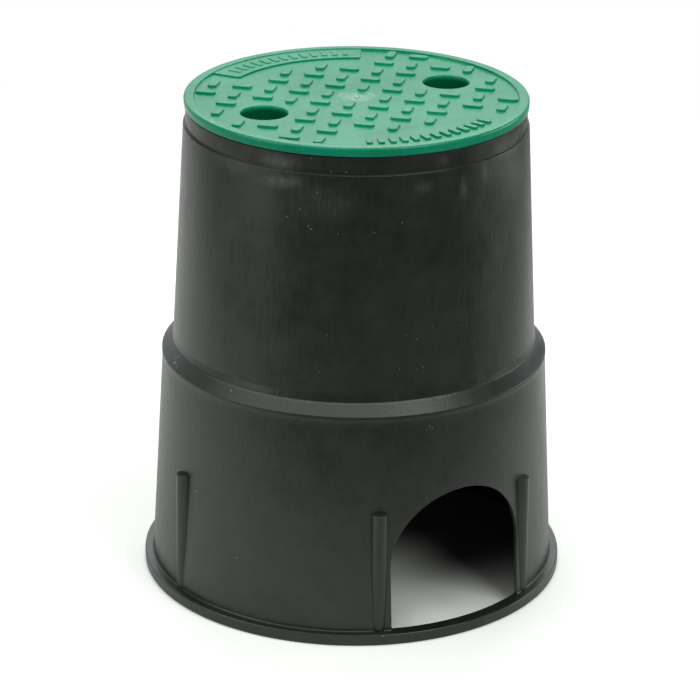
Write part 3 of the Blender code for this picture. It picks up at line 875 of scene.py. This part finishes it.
class Finish:
    """A material with one Principled shader, and its pattern on Object coordinates."""

    def __init__(self, name, colour, roughness, shine):
        self.material = bpy.data.materials.new(name)
        self.material.use_nodes = True
        self.tree = self.material.node_tree
        self.shader = self.tree.nodes["Principled BSDF"]
        self.shader.inputs["Base Color"].default_value = (*colour, 1.0)
        self.shader.inputs["Roughness"].default_value = roughness
        self.shader.inputs["Specular IOR Level"].default_value = shine
        self.place = self.node("ShaderNodeTexCoord", output="Object")
        self.height = self.node("ShaderNodeSeparateXYZ", None, {"Vector": self.place}, "Z")

    def node(self, kind, settings=None, values=None, output=0):
        """Any node: settings first, then its sockets' values or links. Gives one output."""
        made = self.tree.nodes.new(kind)
        for key, value in (settings or {}).items():
            setattr(made, key, value)
        for key, value in (values or {}).items():
            if isinstance(value, Level):
                self.tree.links.new(value.socket, made.inputs[key])
            else:
                made.inputs[key].default_value = value
        return Level(self, made.outputs[output])

    def into(self, name, value):
        self.tree.links.new(value.socket, self.shader.inputs[name])

    def stretched(self, scale):
        """The piece's own coordinates, scaled along each axis. Less than 1 draws a pattern out."""
        return self.node("ShaderNodeMapping", None, {"Vector": self.place, "Scale": scale})

    def noise(self, scale, detail, rough, where=None):
        """Noise on the piece's own coordinates, or on stretched ones."""
        return self.node("ShaderNodeTexNoise", None, {"Vector": where or self.place, "Scale": scale,
                                                      "Detail": detail, "Roughness": rough})

    def band(self, value, low, high):
        """0 below low, 1 above high, easing between."""
        return self.node("ShaderNodeMapRange", {"interpolation_type": "SMOOTHSTEP"},
                         {"Value": value, "From Min": low, "From Max": high})

    def ring(self, start, full, fade, end):
        """1 at some heights all round the piece, easing in before them and out after them."""
        return self.band(self.height, start, full) * (1.0 - self.band(self.height, fade, end))

    def blend(self, share, first, second):
        """From a first colour to a second by a share."""
        mix = self.tree.nodes.new("ShaderNodeMix")
        mix.data_type = "RGBA"
        for socket, value in ((mix.inputs[0], share), (mix.inputs[6], first), (mix.inputs[7], second)):
            if isinstance(value, Level):
                self.tree.links.new(value.socket, socket)
            else:
                socket.default_value = (*value, 1.0)
        return Level(self, mix.outputs[2])

    def far(self, offset):
        """How long an offset is."""
        return self.node("ShaderNodeVectorMath", {"operation": "LENGTH"}, {0: offset}, "Value")

    def away(self, point):
        """Distance from a point, in metres."""
        return self.far(self.node("ShaderNodeVectorMath", {"operation": "SUBTRACT"}, {0: self.place, 1: point}))

    def mark(self, place, turn, size, soft):
        """1 inside a small ellipsoid, easing to 0 at its surface, in a place of its own."""
        local = self.node("ShaderNodeMapping", {"vector_type": "TEXTURE"},
                          {"Vector": self.place, "Location": place, "Rotation": turn, "Scale": size})
        return 1.0 - self.band(self.far(local), soft, 1.0)

    def wall_mark(self, degrees, height, width, length, lean, soft):
        """A mark on the round wall, its sizes in mm."""
        turn = math.radians(degrees)
        radius = wall_radius(MM * height)
        place = (radius * math.cos(turn), radius * math.sin(turn), MM * height)
        size = (MARK_DEPTH, 0.5 * MM * width + MARK_MARGIN, 0.5 * MM * length + MARK_MARGIN)
        return self.mark(place, (math.radians(lean), 0.0, turn), size, soft)

    def specks(self, cell, size, share):
        """Small round dots, one in some of the cells of a grid."""
        near = self.node("ShaderNodeTexVoronoi", {"feature": "F1"}, {"Vector": self.place, "Scale": 1.0 / cell},
                         "Distance")
        cell_tone = Level(self, near.socket.node.outputs["Color"])
        lot = self.node("ShaderNodeSeparateColor", None, {"Color": cell_tone})
        dot = 1.0 - self.band(near, 0.6 * size / cell, size / cell)
        return dot * self.band(lot, 1.0 - share, 1.0 - share + 0.01)

    def relief(self, height, strength, reach):
        """Bump of a height, with its reach in metres."""
        self.into("Normal", self.node("ShaderNodeBump", None, {"Height": height, "Strength": strength,
                                                               "Distance": reach}))


def wall_radius(height):
    """Outer radius of the body at a height, for placing marks on it."""
    if height > LEDGE_Z:
        return COLLAR_RADIUS
    for (low, low_radius), (high, high_radius) in zip(WALL_CORNERS, WALL_CORNERS[1:]):
        if low < height <= high:
            share = (height - low) / (high - low)
            return low_radius + share * (high_radius - low_radius)
    return BASE_RADIUS


def black_finish():
    """Satin black polyethylene: flow shading, fine grain, dust, scuffs and rubbed places, with painted shade lines
    under the lid, under the ledge and at the shoulder's edges, painted shade on the shoulder's right side, and a
    painted highlight on its top edge.
    """
    finish = Finish("black_polyethylene", BLACK, 0.30, 0.6)
    upright_lines = finish.stretched((1.0, 1.0, 0.05))
    cloud = finish.noise(14.0, 3.0, 0.55)
    streak = finish.noise(70.0, 3.0, 0.6, upright_lines)
    patch = finish.noise(420.0, 4.0, 0.7, finish.stretched((1.0, 1.0, 0.45)))
    drag = finish.noise(1000.0, 3.0, 0.7, upright_lines)
    blotch = finish.noise(75.0, 4.0, 0.65)
    shoulder_dust = finish.ring(*SHOULDER_RING) * finish.specks(0.0022, 0.00022, 0.22)
    dust = finish.specks(0.009, 0.00028, 0.10) + shoulder_dust

    pale = dust * 0.5
    # Painted shade: shadow lines under the lid, under the ledge, in the crease above the shoulder and along its lower
    # edge.
    under_lid_shade = finish.band(finish.height, *UNDER_LID_SHADE_Z)
    dark = under_lid_shade + finish.ring(*LEDGE_SHADE_RING) * 0.6
    dark = dark + finish.ring(*CREASE_SHADE_RING) * 0.5 + finish.ring(*LOW_EDGE_SHADE_RING) * 0.5
    # Pale marks are scuffs and specks and dark ones dark marks, apart from the last, which is painted shade on the
    # right of the shoulder.
    for degrees, up, width, length, lean, strength in WALL_MARKS:
        spot = finish.wall_mark(degrees, up, width, length, lean, MARK_SOFT)
        if strength > 0.0:
            pale = pale + spot * (PALE_MARKS * strength)
        else:
            dark = dark - spot * strength
    # Painted highlight on the shoulder's top edge where it catches the light, joined with the rubbed, hazy places
    # below.
    highlight_side = 1.0 - finish.band(finish.away(SHOULDER_HIGHLIGHT_MIDDLE), *SHOULDER_HIGHLIGHT_REACH)
    haze_and_highlight = finish.ring(*SHOULDER_HIGHLIGHT_RING) * highlight_side * 0.40
    for degrees, up, width, length, lean, strength in WALL_HAZES:
        spot = finish.wall_mark(degrees, up, width * HAZE_SPREAD, length * HAZE_SPREAD, lean, 0.0)
        haze_and_highlight = haze_and_highlight + spot * strength
    haze_and_highlight = haze_and_highlight * (0.35 + 0.65 * finish.band(blotch * 0.3 + drag * 0.25 + patch * 0.45, 0.36, 0.62))

    mottle = finish.band(cloud * 0.3 + blotch * 0.35 + drag * 0.15 + patch * 0.2, 0.30, 0.66)
    tone = finish.blend(mottle, BLACK_DEEP, BLACK_PALE)
    for share, colour in ((haze_and_highlight, BLACK_HAZE_AND_HIGHLIGHT), (pale, BLACK_SCUFFED), (dark, BLACK_SHADE_AND_MARKS)):
        tone = finish.blend(share, tone, colour)
    finish.into("Base Color", tone)
    finish.into("Roughness", 0.20 + mottle * 0.12 + streak * 0.10 + haze_and_highlight * 0.2 + pale * 0.2 + dark * 0.3)
    finish.relief(streak * 0.5 + drag + patch, 0.45, 0.0002)
    return finish.material


def green_finish():
    """Satin green polypropylene, with flow lines, a blushed gate, a few nicked spots, a painted glint beside the
    sprue stub, and painted shade in the pockets and under the plate.
    """
    finish = Finish("green_polypropylene", GREEN, 0.32, 0.30)
    cloud = finish.noise(22.0, 3.0, 0.5)
    flow = finish.noise(160.0, 3.0, 0.6, finish.stretched((0.25, 1.0, 1.0)))
    grain = finish.noise(2400.0, 2.0, 0.6)
    fine = finish.noise(900.0, 3.0, 0.7)
    # Painted shade: darker low in the pockets and under the plate.
    pocket_shade = 1.0 - finish.band(finish.height, *POCKET_SHADE_Z)
    pocket_shade = pocket_shade * (1.0 - finish.band(finish.away(POCKET_SHADE_MIDDLE), *POCKET_SHADE_REACH))

    blush = finish.mark((0.0, 0.0, FIELD_Z), NO_TURN, BLUSH_SIZE, 0.1)
    gate = finish.mark((0.0, 0.0, FIELD_Z), NO_TURN, GATE_SIZE, MARK_SOFT)
    # Random nicks, and the listed spots: nicks apart from the last, which is a painted glint beside the sprue stub.
    nicks_and_glint = finish.specks(0.014, 0.00030, 0.08)
    for place, size in LID_NICKS_AND_GLINT:
        nicks_and_glint = nicks_and_glint + finish.mark((*place, LID_TOP_Z), NO_TURN, (size, size, SPOT_DEPTH), 0.3)

    mottle = finish.band(cloud * 0.3 + flow * 0.25 + fine * 0.45, 0.28, 0.72)
    blushed = blush * finish.band(fine, 0.25, 0.75) * 0.55 + gate * 0.3
    tone = finish.blend(mottle, GREEN_DEEP, GREEN_PALE)
    for share, colour in ((pocket_shade * 0.9, GREEN_POCKET_SHADE), (blushed, GREEN_BLUSHED), (nicks_and_glint, GREEN_NICKS_AND_GLINT)):
        tone = finish.blend(share, tone, colour)
    finish.into("Base Color", tone)
    finish.into("Roughness", 0.14 + cloud * 0.05 + flow * 0.05 + mottle * 0.06 + blush * 0.15)
    finish.relief(grain * 0.5 + flow * 0.5 + fine, 0.24, 0.0002)
    return finish.material


def paint(piece, finish):
    piece.data.materials.clear()
    piece.data.materials.append(finish)


# Stage: camera, floor and lamps, placed from the camera's own side

def from_camera(right, back, up):
    """A point given by steps to the camera's right, away from it, and up, from the object's foot."""
    turn = math.radians(CAMERA_TURN_DEG)
    ahead = Vector((math.sin(turn), math.cos(turn), 0.0))
    aside = Vector((math.cos(turn), -math.sin(turn), 0.0))
    return aside * right + ahead * back + Vector((0.0, 0.0, up))


def make_camera():
    turn = math.radians(CAMERA_TURN_DEG) + CAMERA_YAW
    forward = Vector((math.sin(turn) * math.cos(CAMERA_DIP), math.cos(turn) * math.cos(CAMERA_DIP),
                      -math.sin(CAMERA_DIP)))
    level = Vector((math.cos(turn), -math.sin(turn), 0.0))
    upward = level.cross(forward)
    right = level * math.cos(CAMERA_ROLL) + upward * math.sin(CAMERA_ROLL)
    top = upward * math.cos(CAMERA_ROLL) - level * math.sin(CAMERA_ROLL)
    bpy.ops.object.camera_add(location=from_camera(0.0, -CAMERA_REACH, CAMERA_HEIGHT))
    camera = bpy.context.object
    camera.rotation_euler = Matrix((right, top, -forward)).transposed().to_euler()
    camera.data.lens = CAMERA_LENS
    camera.data.sensor_width = CAMERA_SENSOR
    camera.data.clip_start = CAMERA_NEAREST
    bpy.context.scene.camera = camera


def lamp(name, place, size, power):
    """A rectangular lamp, turned towards the point that all of them are aimed at."""
    bpy.ops.object.light_add(type="AREA", location=place)
    light = bpy.context.object
    light.name = name
    light.data.shape = "RECTANGLE"
    light.data.size, light.data.size_y = size
    light.data.energy = power
    light.data.color = LIGHT_TINT
    light.rotation_euler = (Vector(LAMP_AIM) - place).to_track_quat("-Z", "Y").to_euler()


def shader(tree, kind, tint, strength=None):
    """A shader of one colour, with a strength where its kind has one."""
    made = tree.nodes.new(kind)
    made.inputs["Color"].default_value = (*tint, 1.0)
    if strength is not None:
        made.inputs["Strength"].default_value = strength
    return made.outputs[0]


def mixed(tree, share, first, second):
    """Mix Shader: the first shader where the share is 0, and the second where it is 1."""
    mix = tree.nodes.new("ShaderNodeMixShader")
    for socket, value in zip(mix.inputs, (share, first, second)):
        tree.links.new(value, socket)
    return mix.outputs[0]


def eased_share(tree, value, low, high):
    """0 below low, 1 above high, as a socket."""
    share = tree.nodes.new("ShaderNodeMapRange")
    share.interpolation_type = "SMOOTHSTEP"
    tree.links.new(value, share.inputs["Value"])
    share.inputs["From Min"].default_value = low
    share.inputs["From Max"].default_value = high
    return share.outputs[0]


def across(tree, value, span, first, second):
    """The first shader before a span of the value, and the second after it."""
    return mixed(tree, eased_share(tree, value, *span), first, second)


def along(tree, place, direction):
    """How far a place lies along a direction."""
    dot = tree.nodes.new("ShaderNodeVectorMath")
    dot.operation = "DOT_PRODUCT"
    tree.links.new(place, dot.inputs[0])
    dot.inputs[1].default_value = direction
    return dot.outputs["Value"]


def paper_floor():
    """White sweep: white paper to the camera, and to the object a bright table that ends in the dark room in front.

    Inside the body the paper is shaded, apart from the part where light reaches in through the front opening.
    """
    nothing_selected()
    bpy.ops.mesh.primitive_plane_add(size=FLOOR_SIZE, location=(0.0, 0.0, FLOOR_Z))
    floor = settle(named("floor"))
    paper = bpy.data.materials.new("floor_paper")
    paper.use_nodes = True
    tree = paper.node_tree
    tree.nodes.clear()
    place = tree.nodes.new("ShaderNodeTexCoord").outputs["Object"]
    path = tree.nodes.new("ShaderNodeLightPath")
    to_front = along(tree, place, (0.0, -1.0, 0.0))
    to_back = along(tree, place, (0.0, 1.0, 0.0))
    to_right = along(tree, place, from_camera(1.0, 0.0, 0.0))
    to_camera = along(tree, place, from_camera(0.0, -1.0, 0.0))
    length = tree.nodes.new("ShaderNodeVectorMath")
    length.operation = "LENGTH"
    tree.links.new(place, length.inputs[0])
    from_centre = length.outputs["Value"]

    tints = (PAPER_SEEN, PAPER_SHADED, PAPER_MOUTH, PAPER_BRIGHT, PAPER_DIM)
    seen, shaded, mouth, bright, dim = [shader(tree, "ShaderNodeBsdfDiffuse", tint) for tint in tints]
    paper_inside = across(tree, to_right, MOUTH_PAPER_SPAN, mouth, seen)
    paper_inside = across(tree, to_front, FRONT_PAPER_SPAN, shaded, paper_inside)
    paper_inside = across(tree, to_back, BACK_PAPER_SPAN, paper_inside, seen)

    dark = shader(tree, "ShaderNodeEmission", WHITE, 0.0)
    lift = shader(tree, "ShaderNodeEmission", WHITE, FLOOR_LIFT)
    glow = shader(tree, "ShaderNodeEmission", GLOW_TINT, GLOW)
    mouth_glow = across(tree, to_right, MOUTH_GLOW_SPAN, dark, glow)
    glow_inside = across(tree, to_camera, GLOW_NEAR_SPAN, dark, glow)
    glow_inside = across(tree, to_right, GLOW_SIDE_SPAN, glow_inside, dark)
    glow_inside = across(tree, to_camera, MOUTH_START_SPAN, glow_inside, mouth_glow)

    outside = eased_share(tree, from_centre, *BODY_FOOT_SPAN)
    both = tree.nodes.new("ShaderNodeAddShader")
    tree.links.new(mixed(tree, outside, paper_inside, seen), both.inputs[0])
    tree.links.new(mixed(tree, outside, glow_inside, lift), both.inputs[1])
    sweep = shader(tree, "ShaderNodeEmission", WHITE, 1.0)
    seen_floor = across(tree, from_centre, SWEEP_SPAN, both.outputs[0], sweep)

    past_table = tree.nodes.new("ShaderNodeMath")
    past_table.operation = "SUBTRACT"
    tree.links.new(from_centre, past_table.inputs[0])
    tree.links.new(along(tree, place, from_camera(*TABLE_LEAN)), past_table.inputs[1])
    unseen = across(tree, past_table.outputs[0], TABLE_SPAN, bright, dim)

    out = tree.nodes.new("ShaderNodeOutputMaterial")
    tree.links.new(mixed(tree, path.outputs["Is Camera Ray"], unseen, seen_floor), out.inputs["Surface"])
    paint(floor, paper)


def studio_room():
    """World: white to the camera, a bright back wall and a dim front in reflections, and a low level for the rest."""
    world = bpy.data.worlds.new("studio")
    world.use_nodes = True
    bpy.context.scene.world = world
    tree = world.node_tree
    tree.nodes.clear()
    place = tree.nodes.new("ShaderNodeTexCoord").outputs["Generated"]
    path = tree.nodes.new("ShaderNodeLightPath")

    def wall(strength, tint=LIGHT_TINT):
        return shader(tree, "ShaderNodeBackground", tint, strength)

    depth = along(tree, place, from_camera(0.0, 1.0, 0.0))
    near = across(tree, depth, ROOM_FRONT_SPAN, wall(ROOM_FRONT), wall(ROOM_SIDE))
    shown = across(tree, depth, ROOM_BACK_SPAN, near, wall(ROOM_BACK, BACK_TINT))
    lit = mixed(tree, path.outputs["Is Glossy Ray"], wall(ROOM_LEVEL), shown)
    out = tree.nodes.new("ShaderNodeOutputWorld")
    tree.links.new(mixed(tree, path.outputs["Is Camera Ray"], lit, wall(1.0, WHITE)), out.inputs["Surface"])


def make_stage():
    paper_floor()
    studio_room()
    for name, place, size, power in LAMPS:
        lamp(name, from_camera(*place), size, power)


make_camera()
make_stage()

body = make_body()
paint(body, black_finish())
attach(body, "box")
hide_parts("valve_box_body")

lid = make_lid()
paint(lid, green_finish())
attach(lid, "cover")
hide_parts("lid")

bpy.context.scene.view_settings.view_transform = "Standard"
